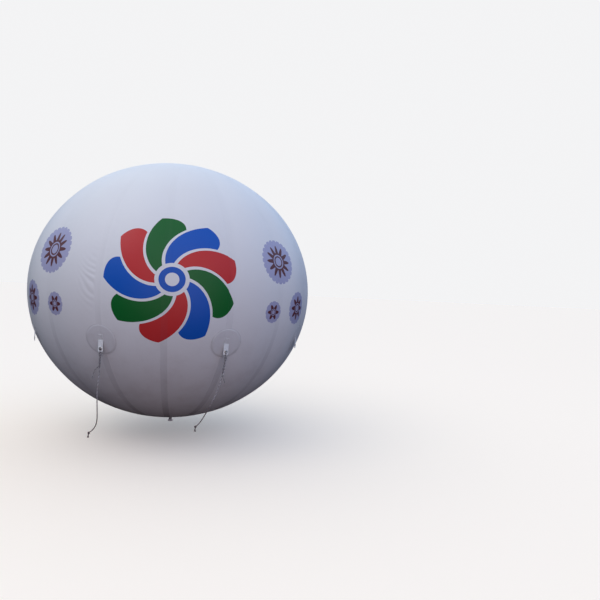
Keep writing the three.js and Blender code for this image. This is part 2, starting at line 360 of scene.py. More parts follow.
ROPE_WHITE = (0.70, 0.69, 0.74)
ROPE_DUST = (0.34, 0.31, 0.30)
ROPE_BROWN = (0.18, 0.135, 0.125)
ROPE_DARK_BROWN = (0.10, 0.073, 0.066)
ROPE_SOIL = (0.15, 0.14, 0.145)
# Painted shade for the grooves between the strands.
ROPE_GROOVE_PAINTED_SHADE = (0.10, 0.085, 0.08)
MARKER_YARN = (0.055, 0.05, 0.075)
ROPE_YARNS = 5 * STRANDS
YARN_TURNS = 260


def rope_material():
    """Off-white laid polyester with a dark marker yarn, soiled where it is plied, brown below, and
    painted dark in the grooves between its strands as shade.
    """
    material, place = new_material("laid_rope")
    across, along = uv_of(place, "rope")
    strand = (across * STRANDS).math("FRACT")
    # The strands' backs; this is also the mask of the painted shade in the grooves between them.
    ridge_and_painted_groove_shade = step((strand * math.pi).math("SINE"), 0.05, 0.75)
    yarns = waves(across * ROPE_YARNS + along * YARN_TURNS, 1)
    marker = step(across, 0.40, 0.44) * (1 - step(across, 0.58, 0.62))
    wear = step(noise(place, 14, 5), 0.35, 0.75)
    height = axes_of(place)[2]
    low = 1 - step(height, -1.14, -0.84)
    plied = step(height, -0.73, -0.69) * (1 - step(height, -0.61, -0.58))
    clean = paint(low, ROPE_WHITE, ROPE_BROWN)
    dusty = paint(wear, clean, paint(low, ROPE_DUST, ROPE_DARK_BROWN))
    soiled = paint(plied * 0.45, dusty, ROPE_SOIL)
    marked = paint(marker * (1 - low * 0.6), soiled, MARKER_YARN)
    relief = ridge_and_painted_groove_shade + yarns * 0.16 + noise(place, 900, 2) * 0.3
    return shade(material, {
        "Base Color": paint(ridge_and_painted_groove_shade, ROPE_GROOVE_PAINTED_SHADE, marked),
        "Roughness": 0.72 + wear * 0.18,
        "Specular IOR Level": 0.2,
        "Normal": bump(relief, 0.0007),
    })


def helix(plied_to, lead):
    """Points of one of two plied ropes, from the hitch down; lead is its angle at the end."""
    sideways, bottom = plied_to
    count = round((bottom - TWIST_TOP) / TWIST_PITCH * TWIST_TURN_POINTS)
    points = []
    for number in range(count + 1):
        share = number / count
        down = TWIST_TOP + (bottom - TWIST_TOP) * share
        angle = lead + TURN * (down - bottom) / TWIST_PITCH
        across, out = TWIST_R * math.cos(angle), TWIST_R * math.sin(angle)
        points.append((sideways * share + across, out, down))
    return points


# The bight's half behind the tab: (out, down) in millimetres. The half in front mirrors it.
BIGHT = [
    (-5.0, 60.0), (-6.2, 50.0), (-9.2, 40.0), (-9.6, 28.0), (-9.7, 18.0), (-9.5, 11.0),
    (-7.8, 5.6), (-3.6, 3.4),
]
WRAP_R = 0.0105
WRAP_TOP = 0.0420
WRAP_BOTTOM = 0.0590
WRAP_TURNS = 2.4
WRAP_TURN_POINTS = 16
WRAP_START = 0.6
WRAP_TUCK = 0.42
TUCK_SHARE = 0.28
STOPPER_SIZE = 0.0031 * np.array((1, 1.35, 1.15))
STOPPER_POINTS = 36
STOPPER_ROPE_R = ROPE_D * 0.44
STUB_R = ROPE_D * 0.46
STUB_FROM = 0.008
STUB_TO = 0.022
STUB_LEAN = 0.15
YARN_R = 0.0009
FRAY_LENGTH = 0.024
FRAY_ROOT = 0.004
FRAY_ROOT_R = 0.0036
FRAY_SPREAD = 0.008
FRAY_YARNS = 26
WHIPPING_TURNS = 6
WHIPPING_STEPS = 14
WHIPPING_LENGTH = 0.010
WHIPPING_FROM_END = 0.002
WHIPPING_R = 0.0052
THREAD_R = 0.0008


def rope_route(tab, points):
    return smooth_route(at_eyelet(tab, points), ROPE_STEP)


def hitch_lines():
    """The bight through the eyelet, and the turns that close it under the tab."""
    bight = [(0, out, down) for out, down in BIGHT]
    bight += [(0, -out, down) for out, down in BIGHT[::-1]]
    turns = []
    for number in range(round(WRAP_TURNS * WRAP_TURN_POINTS) + 1):
        share = number / (WRAP_TURNS * WRAP_TURN_POINTS)
        angle = TURN * WRAP_TURNS * share + WRAP_START
        near_end = max(0.0, abs(2 * share - 1) - (1 - TUCK_SHARE)) / TUCK_SHARE
        tuck = 1 - WRAP_TUCK * near_end
        down = WRAP_TOP + (WRAP_BOTTOM - WRAP_TOP) * share
        turns.append((WRAP_R * tuck * math.cos(angle), WRAP_R * tuck * math.sin(angle), down))
    return metres(bight), turns


def stopper_line(end):
    """An overhand knot round the rope's end, closed on itself."""
    points = []
    for number in range(STOPPER_POINTS + 1):
        turn = TURN * number / STOPPER_POINTS
        sideways = math.sin(turn) + 2 * math.sin(2 * turn)
        down = 2 * math.cos(2 * turn) - math.cos(turn)
        points.append(end + STOPPER_SIZE * (sideways, math.sin(3 * turn), down))
    return points


def frayed_end(tab, start):
    """Loose yarns that splay from a cut end."""
    yarns = []
    for number in range(FRAY_YARNS):
        angle = 2.4 * number + fray_draws.uniform(-0.2, 0.2)
        share_out = math.sqrt((number + 0.5) / FRAY_YARNS)
        lean = np.array((math.cos(angle), math.sin(angle), 0.0)) * share_out
        length = FRAY_LENGTH * fray_draws.uniform(0.6, 1.0)
        points = [
            start + lean * FRAY_ROOT_R + (0, 0, length * share - FRAY_ROOT)
            + lean * FRAY_SPREAD * fray_draws.uniform(0.7, 1.3) * share ** 2
            for share in (0.0, 0.3, 0.6, 0.85, 1.0)
        ]
        line = smooth_route(at_eyelet(tab, points), 0.004)
        yarns.append(swept("yarn", line, YARN_R, sides=5, strands=1, lay=0.02, ends=0.6))
    return yarns


def finish(piece, material, node):
    """Gives a piece its material and its place in the frame."""
    piece.data.materials.clear()
    piece.data.materials.append(material)
    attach(piece, "root")
    if node:
        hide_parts(node)


rope_finish = rope_material()
fray_draws = np.random.default_rng(11)
for place, rope in enumerate(ROPES, start=1):
    tab = rope["tab"]
    plied_to, hanging, loose = (metres(rope[part]) for part in ("plied_to", "route", "tail"))
    line_route = rope_route(tab, [*helix(plied_to, math.pi * 1.5), *hanging])
    tail_route = rope_route(tab, [*helix(plied_to, math.pi / 2), *loose])
    line = swept(f"rope_{place}_line", line_route, ROPE_D / 2)
    tail = swept(f"rope_{place}_tail", tail_route, ROPE_D / 2)

    knots = [swept("hitch", rope_route(tab, points), ROPE_D / 2) for points in hitch_lines()]
    hitch = joined(f"rope_{place}_hitch", knots)

    end = hanging[-1]
    cut_end = end + (end - hanging[-2]) * STUB_LEAN + (0, 0, STUB_TO)
    knot = swept("knot", rope_route(tab, stopper_line(end)), STOPPER_ROPE_R)
    stub = swept("stub", rope_route(tab, [end + (0, 0, STUB_FROM), cut_end]), STUB_R)
    stopper = joined(f"rope_{place}_stopper", [knot, stub, *frayed_end(tab, cut_end)])

    tail_fall = loose[-1] - loose[-2]
    turns = []
    for number in range(WHIPPING_TURNS * WHIPPING_STEPS + 1):
        angle = TURN * number / WHIPPING_STEPS
        back = WHIPPING_FROM_END + WHIPPING_LENGTH * number / (WHIPPING_TURNS * WHIPPING_STEPS)
        middle = loose[-1] - tail_fall * back / tail_fall[2]
        turns.append(middle + (WHIPPING_R * math.cos(angle), WHIPPING_R * math.sin(angle), 0.0))
    thread_route = at_eyelet(tab, turns)
    thread = swept(f"rope_{place}_whipping", thread_route, THREAD_R, sides=6, strands=1, lay=0.05)

    node = f"rope_{place}"
    for piece, replaced in (
        (line, node), (tail, node), (hitch, f"hitch_{place}"), (stopper, None), (thread, None),
    ):
        finish(piece, rope_finish, replaced)
    for piece, route, far_end, on_it in (
        (line, line_route, "knot", [hitch, stopper]),
        (tail, tail_route, "bare", [thread]),
    ):
        tuple(at_eyelet(tab, (0, 0, TWIST_TOP)))


# Envelope. Sixteen gores of white PVC film, each cut as one long lune, welded edge over edge and
# blown up tight: the seams pull in a little, and the heat of the weld leaves puckers beside them.

HALF_WIDTH = 1.525
HALF_HEIGHT = 1.418
SEAM_DIP = 0.012
POLE_HOLE_R = 0.120
FILM = 0.0006
LAP = 0.029
LAP_LIFT = 0.0007
LAP_STEP = 0.0285
LAP_RAMP = 0.033
LAP_ROOM = 0.095
LAP_COLUMNS = (-LAP, -0.0275, -0.0140, 0.0, 0.0140, LAP_STEP, LAP_RAMP)

# Rows up a gore, and columns between a lap and its middle: finer where its puckers are deep.
GORE_MESH = (300, 7)
FINE_MESH = (420, 26)
FINE_GORE = 15
END_LATITUDE = math.acos(POLE_HOLE_R / HALF_WIDTH)
SMOOTH_ANGLE = math.radians(40)
PUCKER_PITCH = 0.066
PUCKER_REACH = 0.045
PUCKER_DEPTH = 0.00022
PUCKERS_START = 0.030
PUCKERS_FULL = 0.050

# Groups of puckers that are placed one by one: seam, side of it, distance above the widest line,
# half the group's length along the seam, its depth, and how far it reaches from the seam.
PUCKER_GROUPS = [
    (15, -1, 0.07, 0.19, 0.0044, 0.135),
    (15, 1, -0.95, 0.25, 0.0011, 0.050),
    (1, 1, 0.35, 0.22, 0.0010, 0.055),
    (1, -1, -0.85, 0.20, 0.0010, 0.050),
    (0, 1, -1.05, 0.22, 0.0010, 0.050),
    (14, -1, -0.45, 0.30, 0.0013, 0.055),
    (2, 1, -0.55, 0.30, 0.0014, 0.060),
]
DRAWN_GROUPS = 3
pucker_draws = np.random.default_rng(5)
for seam in range(GORES):
    for side in (-1, 1):
        for _ in range(DRAWN_GROUPS):
            PUCKER_GROUPS.append((
                seam, side, pucker_draws.uniform(-1.7, 1.7), pucker_draws.uniform(0.08, 0.28),
                pucker_draws.uniform(0.0002, 0.0009), pucker_draws.uniform(0.035, 0.060),
            ))
PUCKER_PHASE = pucker_draws.uniform(0, 1, (GORES, 2))

# Long waves of slack film: depth, waves round the balloon, waves up it, and where they start.
SLACK_WAVES = [(0.0009, 3, 4.1, 0.7), (0.0007, 7, -3.3, 2.1), (0.0005, 11, 7.7, 0.0)]
CREASES = 48
CREASE_DEPTH = 0.0011
CREASE_START = 0.18
CREASE_REACH = 0.20


def from_seam(latitude, longitude):
    """The nearest seam's number, and how far right of it points are, in metres."""
    seams = longitude / SEAM_ANGLE
    nearest = np.round(seams)
    right = (seams - nearest) * SEAM_ANGLE * HALF_WIDTH * np.cos(latitude)
    return nearest.astype(int) % GORES, right


def puckers(latitude, longitude):
    """How far the film stands out or in beside the seams."""
    seam, right = from_seam(latitude, longitude)
    above = latitude * (HALF_WIDTH + HALF_HEIGHT) / 2
    beside = np.abs(right)
    beyond = np.maximum(beside - PUCKERS_FULL, 0)
    side = (right > 0).astype(int)
    depth = PUCKER_DEPTH * np.exp(-beyond / PUCKER_REACH)
    for group_seam, group_side, height, half_length, group_depth, far in PUCKER_GROUPS:
        here = (seam == group_seam) & (side == (group_side > 0))
        along = np.exp(-((above[here] - height) / half_length) ** 2)
        depth[here] += group_depth * along * np.exp(-(beyond[here] / far) ** 2)
    start = PUCKER_PHASE[seam, side]
    wander = 0.35 * np.sin(above * 9.1 + 5 * start) + 0.2 * np.sin(above * 23 + seam)
    phase = (above - 3.5 * right ** 2) / PUCKER_PITCH + wander + start
    shown = np.clip((beside - PUCKERS_START) / (PUCKERS_FULL - PUCKERS_START), 0, 1)
    return depth * shown * (np.abs(np.sin(math.pi * phase)) - 0.6)


def slack(latitude, longitude):
    """Long shallow waves of the film, and the creases that run out from the pole caps."""
    long_waves = sum(
        depth * np.sin(across * longitude + up * latitude + start)
        for depth, across, up, start in SLACK_WAVES
    )
    radius = HALF_WIDTH * np.cos(latitude)
    fading = np.exp(-(np.maximum(radius - CREASE_START, 0) / CREASE_REACH) ** 2)
    creases = np.clip(radius / CREASE_START, 0, 1) ** 2 * fading
    creases *= np.cos(CREASES * longitude + np.sin(5 * longitude))
    return long_waves * np.cos(latitude) + CREASE_DEPTH * creases


def on_envelope(latitude, longitude, proud=0.0):
    """Points on the blown-up film, or a little proud of it. Longitude 0 is the front seam."""
    outwards = np.stack((np.cos(latitude) / HALF_WIDTH, np.sin(latitude) / HALF_HEIGHT))
    outwards /= np.linalg.norm(outwards, axis=0)
    crown = np.sin(math.pi * ((longitude / SEAM_ANGLE) % 1))
    lift = proud + puckers(latitude, longitude) + slack(latitude, longitude)
    radius = (HALF_WIDTH - SEAM_DIP * (1 - crown)) * np.cos(latitude) + lift * outwards[0]
    height = HALF_HEIGHT * np.sin(latitude) + lift * outwards[1]
    return np.stack((radius * np.sin(longitude), -radius * np.cos(longitude), height), axis=-1)


def added(name):
    """The object that an operator has just added, with its name."""
    piece = bpy.context.object
    piece.name = piece.data.name = name
    return piece


def apply(piece, modifier):
    pick(piece)
    bpy.ops.object.modifier_apply(modifier=modifier.name)


def set_places(mesh, points):
    mesh.vertices.foreach_set("co", np.asarray(points, np.float32).ravel())
    mesh.update()


def places_of(mesh):
    places = np.zeros(len(mesh.vertices) * 3, np.float32)
    mesh.vertices.foreach_get("co", places)
    return places.reshape(-1, 3).astype(float)


def clear_uv(mesh):
    while mesh.uv_layers:
        mesh.uv_layers.remove(mesh.uv_layers[0])


def set_uv(mesh, name, values):
    """A UV map from one pair of numbers for each vertex."""
    layer = mesh.uv_layers.get(name) or mesh.uv_layers.new(name=name)
    corners = np.zeros(len(mesh.loops), np.int32)
    mesh.loops.foreach_get("vertex_index", corners)
    layer.data.foreach_set("uv", np.asarray(values, np.float32)[corners].ravel())


def thicken(piece, thickness, offset=-1.0):
    """Gives a sheet its thickness, inwards from the face that shows unless offset says."""
    solidify = piece.modifiers.new("thickness", "SOLIDIFY")
    solidify.thickness = thickness
    solidify.offset = offset
    apply(piece, solidify)


def gore_columns(width, count):
    """Places across the gore from its left seam, close together at the laps."""
    shrink = np.minimum(1, width / LAP_ROOM)
    laps = np.array(LAP_COLUMNS)[:, None] * shrink
    start = LAP_RAMP * shrink
    shares = 0.5 * (np.arange(1, count + 1) / count) ** 1.15
    left = start + shares[:, None] * (width - 2 * start)
    columns = np.vstack((laps, left))
    return np.vstack((columns, (width - columns[:-1])[::-1])), shrink


def make_gore(number):
    rows, count = FINE_MESH if number == FINE_GORE else GORE_MESH
    cells = 2 * (len(LAP_COLUMNS) + count) - 2
    bpy.ops.mesh.primitive_grid_add(x_subdivisions=cells, y_subdivisions=rows, size=1)
    gore = added(f"gore_{number:02d}_film")
    mesh = gore.data
    grid = places_of(mesh)
    column = np.rint((grid[:, 0] + 0.5) * cells).astype(int)
    latitude = END_LATITUDE * 2 * grid[:, 1]
    width = SEAM_ANGLE * HALF_WIDTH * np.cos(latitude)
    across, shrink = gore_columns(width, count)
    across = across[column, np.arange(len(column))]
    longitude = (number - 1 + across / width) * SEAM_ANGLE
    lap = 1 - np.clip((across / shrink - LAP_STEP) / (LAP_RAMP - LAP_STEP), 0, 1)
    set_places(mesh, on_envelope(latitude, longitude, LAP_LIFT * lap))

    above = latitude * (HALF_WIDTH + HALF_HEIGHT) / 2
    beside = np.minimum(np.abs(across), np.abs(width - across))
    clear_uv(mesh)
    set_uv(mesh, "weld", np.stack((beside, above), axis=1))
    slip_across, slip_along = print_draws.uniform(-PRINT_SLIP, PRINT_SLIP, 2)
    front = longitude - TURN * (number > GORES / 2)
    set_uv(mesh, "print", np.stack((front * HALF_WIDTH + slip_across, above + slip_along), axis=1))
    thicken(gore, FILM)
    bpy.ops.object.shade_smooth_by_angle(angle=SMOOTH_ANGLE)
    return gore


INK_RED = (0.56, 0.030, 0.032)
INK_BLUE = (0.004, 0.095, 0.50)
INK_GREEN = (0.004, 0.125, 0.022)
INK_MAROON = (0.115, 0.030, 0.034)
INK_LAVENDER = (0.40, 0.40, 0.60)
FILM_WHITE = (0.80, 0.805, 0.84)
FILM_GREY = (0.66, 0.64, 0.66)
# Dust colour; laid on more heavily towards the bottom, it is also painted shade.
FILM_DUST_AND_PAINTED_SHADE = (0.50, 0.45, 0.45)
# Painted shade on the weld bands, deepest towards the bottom, with a faint darkening for the
# doubled film.
WELD_DOUBLE_FILM_AND_PAINTED_SHADE = (0.13, 0.12, 0.15)
WELD_KNURL = 0.0030
PRINT_SLIP = 0.002
PRINT_EDGE = 0.001
WHEEL_ACROSS = 0.052
WHEEL_ABOVE = 0.115
WHEEL_R = 0.60
WHEEL_BLADES = 9
WHEEL_SWIRL = 0.36
WHEEL_GAP = 0.030
BLADE_START = 0.150
HUB_R = 0.115
HUB_HOLE_R = 0.060

# Roundels beside the wheel: centre round from the front in degrees, height, radius and petals.
ROUNDELS = [(45.0, 0.36, 0.25, 12), (58.0, -0.12, 0.19, 8), (41.5, -0.16, 0.12, 6)]


def reach(across, up):
    return (across * across + up * up) ** 0.5


def polar(across, up):
    """Distance from a motif's middle, and the turn round it from 0 to 1."""
    return reach(across, up), up.math("ARCTAN2", across) / TURN + 0.5


def printed_to(distance, edge):
    """1 as far as an edge of the print, and 0 beyond it."""
    return 1 - step(distance, edge - PRINT_EDGE, edge + PRINT_EDGE)


def wheel_print(under, across, up):
    """A pinwheel of swept blades in red, blue and green round a ringed hub."""
    distance, turn = polar(across, up)
    swept_turn = (turn + distance * WHEEL_SWIRL + 1.0).math("FRACT")
    blades = swept_turn * WHEEL_BLADES
    inside = blades.math("FRACT")
    edge = inside.math("MINIMUM", 1 - inside) * distance * (TURN / WHEEL_BLADES)
    tip = WHEEL_R * (1 - 0.20 * (1 - inside) ** 2.2)
    blade = (1 - printed_to(edge, WHEEL_GAP / 2)) * printed_to(distance - tip, 0)
    blade = blade * (1 - printed_to(distance, BLADE_START))
    third = (blades.math("FLOOR") / 3 + 0.01).math("FRACT")
    ink = paint(step(third, 0.5, 0.52), INK_BLUE, INK_GREEN)
    ink = paint(step(third, 0.2, 0.22), INK_RED, ink)
    hub = printed_to(distance, HUB_R) * (1 - printed_to(distance, HUB_HOLE_R + PRINT_EDGE))
    return paint(hub, paint(blade, under, ink), INK_BLUE), blade.math("MAXIMUM", hub)


def roundel_print(under, across, up, radius, petals):
    """A lavender scalloped disc with a maroon flower in it."""
    distance, turn = polar(across, up)
    wave = (turn * (petals * TURN)).math("COSINE")
    share = distance / radius
    disc = 1 - step(share, 0.93, 0.945)
    disc = disc * (1 - step(share - wave.math("ABSOLUTE") * 0.10, 0.86, 0.875))
    flower = 1 - step(share - wave * 0.16, 0.52, 0.535)
    eye = 1 - step(share, 0.17, 0.185)
    ring = step(share, 0.235, 0.25) * (1 - step(share, 0.29, 0.305))
    mask = flower * (1 - eye) * (1 - ring)
    return paint(mask, paint(disc, under, INK_LAVENDER), INK_MAROON), disc


def fold_marks(place):
    """Faint straight creases that stay in film after it is packed away folded."""
    swirl = {"Vector": place, "Scale": 1.3, "Detail": 1.0}
    drift = place.node("ShaderNodeTexNoise", {}, swirl, "Color")
    bend = {0: drift, 1: (0.35, 0.35, 0.35), 2: place}
    bent = place.node("ShaderNodeVectorMath", {"operation": "MULTIPLY_ADD"}, bend)
    cells = {"Vector": bent, "Scale": 2.3, "Randomness": 0.9}
    gap = place.node("ShaderNodeTexVoronoi", {"feature": "DISTANCE_TO_EDGE"}, cells)
    shown = step(noise(place, 2.2, 2), 0.46, 0.64)
    return (1 - step(gap, 0.0, 0.012)) * shown


def film_skin(place, scale, depth):
    """The film's fine grain, and its shallow dents."""
    return noise(place, 520, 2) * 0.00006 + noise(place, scale, 5, 0.6) * depth


def film_material():
    """White semi-gloss film, printed, a little dusty and a touch darker on its doubled weld bands;
    the bands and the dust also get painted shade towards the bottom.
    """
    material, place = new_material("envelope_film")
    beside, above = uv_of(place, "weld")
    around, height = uv_of(place, "print")
    x, y, z = axes_of(place)
    share = reach(x, y) / HALF_WIDTH

    cloud = noise(place, 1.7, 4)
    dust = step(noise(place, 5.5, 6, 0.62), 0.42, 0.78)
    base = paint(cloud * 0.35, FILM_WHITE, FILM_GREY)
    # Dust mottling that thickens towards the bottom: part dust, part painted shade of the
    # underside.
    base = paint(dust * step(z * -1, -0.2, 1.3) * 0.30, base, FILM_DUST_AND_PAINTED_SHADE)

    half_turn = math.pi * HALF_WIDTH
    around = ((around / half_turn + 0.5).math("FRACT") - 0.5) * half_turn
    printed, inked = wheel_print(base, (around - WHEEL_ACROSS) * share, height - WHEEL_ABOVE)
    aside = around.math("ABSOLUTE")
    for degrees, middle, radius, petals in ROUNDELS:
        across = (aside - math.radians(degrees) * HALF_WIDTH) * share
        printed, disc = roundel_print(printed, across, height - middle, radius, petals)
        inked = inked.math("MAXIMUM", disc)

    band = 1 - step(beside, LAP - 0.001, LAP + 0.001)
    # The weld bands: a faint darkening for the doubled film everywhere, and painted shade that
    # deepens in the lower half and most near the bottom, for the light that two layers keep from
    # shining through.
    lower = 1 - step(z, -0.80, 0.10)
    double_film_and_painted_shade = band * (0.012 + lower * 0.12 + (1 - step(z, -1.36, -0.98)) * 0.22)
    edge_line = step(beside, LAP - 0.003, LAP - 0.0012)
    edge_line = edge_line * (1 - step(beside, LAP + 0.0004, LAP + 0.002))
    grime = step(noise(place, 9, 5), 0.40, 0.70)
    # Grime along each lap's edge, painted heavier in the lower half: part grime, part painted
    # shade.
    weld_tint_grime_and_painted_shade = double_film_and_painted_shade + edge_line * grime * (0.03 + lower * 0.17)

    knurl = waves(beside, WELD_KNURL) * waves(above, WELD_KNURL)
    skin = film_skin(place, 16, 0.0022)
    relief = skin + knurl * band * 0.00012 + fold_marks(place) * 0.0004
    return shade(material, {
        "Base Color": paint(weld_tint_grime_and_painted_shade, printed, WELD_DOUBLE_FILM_AND_PAINTED_SHADE),
        "Roughness": 0.42 - inked * 0.05 - band * 0.05 + dust * 0.12,
        "Normal": bump(relief, 1.0, 0.55),
        "Specular IOR Level": 0.3,
    })


film_finish = film_material()
print_draws = np.random.default_rng(3)
for number in range(1, GORES + 1):
    gore = make_gore(number)
    finish(gore, film_finish, f"gore_{number:02d}")


# Pole caps. Where the points of the gores meet, a round of the same film is welded over each pole.
# A ring die presses its rim, and the ends of the seams show through it.

CAP_R = 0.180
CAP_PROUD = 0.0026
CAP_RINGS = 22
ROUND_FILM = 0.0008
RIM_STEPS = (0.0012, 0.0008, 0.0012, 0.0080, 0.0012)
RIM_OUTER = 0.0016
RIM_INNER = 0.0124
RIM_SLOPE = 0.0012
RIM_PRESS = 0.0007
RIM_KNURL = 0.0026
SEAM_LIFT = 0.0005
ROUND_WHITE = (0.715, 0.72, 0.757)
ROUND_GREY = (0.64, 0.62, 0.65)
ROUND_DUST = (0.44, 0.40, 0.40)
ROUND_EDGE = (0.20, 0.18, 0.19)


def mode(name):
    bpy.ops.object.mode_set(mode=name)


def round_of_film(name, radius, rings):
    """A flat disc with close rings at its rim and even ones inside."""
    bpy.ops.mesh.primitive_circle_add(vertices=96, radius=radius, fill_type="NGON")
    disc = added(name)
    mode("EDIT")
    for width in RIM_STEPS:
        bpy.ops.mesh.inset(thickness=width)
    for _ in range(rings):
        bpy.ops.mesh.inset(thickness=(radius - sum(RIM_STEPS)) / (rings + 0.5))
    bpy.ops.mesh.poke()
    mode("OBJECT")
    return disc


def weld_round(node, radius, rings, proud, material, spread):
    """Welds a disc to the envelope; spread turns its flat places into latitudes and longitudes."""
    disc = round_of_film(f"{node}_film", radius, rings)
    flat = places_of(disc.data)[:, :2]
    inwards = radius - np.linalg.norm(flat, axis=1)
    pressed = np.clip(inwards / RIM_OUTER, 0, 1) * np.clip((RIM_INNER - inwards) / RIM_SLOPE, 0, 1)
    latitude, longitude = spread(flat)
    _, right = from_seam(latitude, longitude)
    lap = np.clip((LAP_RAMP - np.abs(right)) / (LAP_RAMP - LAP_STEP), 0, 1)
    lift = proud - RIM_PRESS * pressed + SEAM_LIFT * lap
    set_places(disc.data, on_envelope(latitude, longitude, lift))
    clear_uv(disc.data)
    set_uv(disc.data, "flat", flat)
    thicken(disc, ROUND_FILM)
    bpy.ops.object.shade_smooth_by_angle(angle=SMOOTH_ANGLE)
    finish(disc, material, node)


def round_material(name, radius):
    """The same film over another layer: a little darker, with a knurled rim that holds dust."""
    material, place = new_material(name)
    across, up = uv_of(place, "flat")
    inwards = radius - reach(across, up)
    rim = step(inwards, 0.0012, 0.0022) * (1 - step(inwards, RIM_INNER - RIM_SLOPE, RIM_INNER))
    edge = 1 - step(inwards, 0.0004, 0.0030)
    cloud = noise(place, 2.6, 4)
    dust = step(noise(place, 11, 6, 0.62), 0.42, 0.78)
    base = paint(cloud * 0.4, ROUND_WHITE, ROUND_GREY)
    base = paint(dust * 0.25 + rim * 0.05, base, ROUND_DUST)
    knurl = waves(across, RIM_KNURL) * waves(up, RIM_KNURL)
    relief = film_skin(place, 26, 0.0014) + knurl * rim * 0.00018
    return shade(material, {
        "Base Color": paint(edge * (0.08 + dust * 0.25), base, ROUND_EDGE),
        "Roughness": 0.42 + dust * 0.14 - rim * 0.04,
        "Normal": bump(relief, 1.0, 0.6),
        "Specular IOR Level": 0.3,
    })


def over_pole(pole, flat):
    """Latitude and longitude of flat places laid over a pole."""
    longitude = np.arctan2(flat[:, 0] * pole, -flat[:, 1]) % TURN
    return pole * np.arccos(np.linalg.norm(flat, axis=1) / HALF_WIDTH), longitude


cap_finish = round_material("cap_film", CAP_R)
for node, pole in (("top_cap", 1), ("bottom_cap", -1)):
    weld_round(node, CAP_R, CAP_RINGS, CAP_PROUD, cap_finish, lambda flat: over_pole(pole, flat))


# Inflation neck. A short sleeve of thin film, welded by a flange to the lower cap. Once the
# balloon is full it is gathered tight and tied off, which pleats it and flares its open mouth.

NECK_TOP = -1.4214
NECK_PLEATS = 11
NECK_FILM = 0.0006
SLEEVE_R = 0.034
SLEEVE_WHITE = (0.70, 0.70, 0.735)
SLEEVE_GRIME = (0.36, 0.33, 0.32)
# Painted shade in the narrow pleats of the gathered waist.
SLEEVE_PLEAT_PAINTED_SHADE = (0.13, 0.12, 0.12)

# Rings down the sleeve: middle radius, depth of the pleats and drop below the cap, in millimetres.
NECK_RINGS = metres([
    (62, 0, -0.4), (58, 0, -0.2), (44, 0, 0.6), (36.5, 0.1, 1.6), (34, 0.4, 5), (33.5, 1.2, 11),
    (32.2, 2.4, 18), (29, 3.6, 25.5), (23.5, 4.8, 32.5), (16.5, 5.6, 39), (11, 5.4, 44),
    (8.4, 4.6, 47.5), (8.1, 4.5, 52), (8.4, 4.6, 56.5), (11.2, 5.6, 60.5), (15.8, 6, 66),
    (20, 5.4, 71.5), (22.6, 4.4, 76.5), (23.8, 3.6, 81), (24.2, 3.3, 83.6),
])


def face_outwards():
    """Turns the faces of the mesh in edit mode outwards."""
    bpy.ops.mesh.select_all(action="SELECT")
    bpy.ops.mesh.normals_make_consistent(inside=False)


bpy.ops.mesh.primitive_circle_add(vertices=132, radius=NECK_RINGS[0, 0])
neck = added("inflation_neck_film")
mode("EDIT")
for (radius, _, drop), (after, _, lower) in zip(NECK_RINGS, NECK_RINGS[1:]):
    bpy.ops.mesh.extrude_edges_move(TRANSFORM_OT_translate={"value": (0, 0, drop - lower)})
    bpy.ops.transform.resize(value=(after / radius, after / radius, 1), center_override=(0, 0, 0))
mode("OBJECT")
sleeve = places_of(neck.data)
turn = np.arctan2(sleeve[:, 1], sleeve[:, 0])
drops = NECK_RINGS[:, 2] - NECK_RINGS[0, 2]
order = np.abs(-sleeve[:, 2][:, None] - drops).argmin(axis=1)
radii, depths, drops = NECK_RINGS[order].T
lean = 0.5 * np.sin(2 * turn + 0.4) + 0.35 * np.sin(5 * turn + 1.9)
fold = np.cos(NECK_PLEATS * turn + lean + 14 * drops)
radii += depths * fold + 0.35 * depths * np.cos(3 * turn + 0.8)
pole_dome = (HALF_HEIGHT - HALF_HEIGHT * np.sqrt(1 - (radii / HALF_WIDTH) ** 2)) * (drops < 0.002)
heights = NECK_TOP - drops + pole_dome - 0.0008 * np.clip(drops / 0.08, 0, 1) * np.cos(4 * turn)
set_places(neck.data, np.stack((radii * np.cos(turn), radii * np.sin(turn), heights), axis=1))
set_uv(neck.data, "sleeve", np.stack((turn * SLEEVE_R, drops), axis=1))
mode("EDIT")
face_outwards()
mode("OBJECT")
thicken(neck, NECK_FILM, 0.0)
smoother = neck.modifiers.new("round_pleats", "SUBSURF")
smoother.levels = smoother.render_levels = 1
apply(neck, smoother)
bpy.ops.object.shade_smooth()


def sleeve_material():
    """Thin white film, creased where it is gathered, grimy here and there, darker round the waist
    under the tie, and painted dark as shade in the narrow pleats near its middle.
    """
    material, place = new_material("sleeve_film")
    x, y, z = axes_of(place)
    waist = step(z, -1.492, -1.478) * (1 - step(z, -1.466, -1.452))
    grime = step(noise(place, 60, 5), 0.38, 0.70)
    # The narrow pleats close to the middle are painted dark: painted shade.
    deep = 1 - step(reach(x, y), 0.006, 0.016)
    colour = paint(grime * 0.35 + waist * 0.25, SLEEVE_WHITE, SLEEVE_GRIME)
    stretch = {0: place, 1: (1.0, 1.0, 0.22)}
    along = place.node("ShaderNodeVectorMath", {"operation": "MULTIPLY"}, stretch)
    return shade(material, {
        "Base Color": paint(deep * 0.7, colour, SLEEVE_PLEAT_PAINTED_SHADE),
        "Roughness": 0.44 + grime * 0.12,
        "Normal": bump(noise(along, 330, 4, 0.6), 0.0009, 0.7),
    })


finish(neck, sleeve_material(), "inflation_neck")


# Neck tie. Three turns of thin cord round the gathered sleeve, drawn tight and knotted at the back
# of the neck, with two short ends.

TIE_MIDDLE = NECK_TOP - 0.052
TIE_R = 0.0016
TIE_TURNS = 3
TIE_TURN_POINTS = 24
TIE_TURN_RISE = 2.05 * TIE_R
TIE_TURN_R = 0.0144
TIE_KNOT_OUT = 0.0172
TIE_KNOT_SIZE = 0.0021
TIE_KNOT_HEIGHT = 0.0019
TIE_STEP = 0.0018

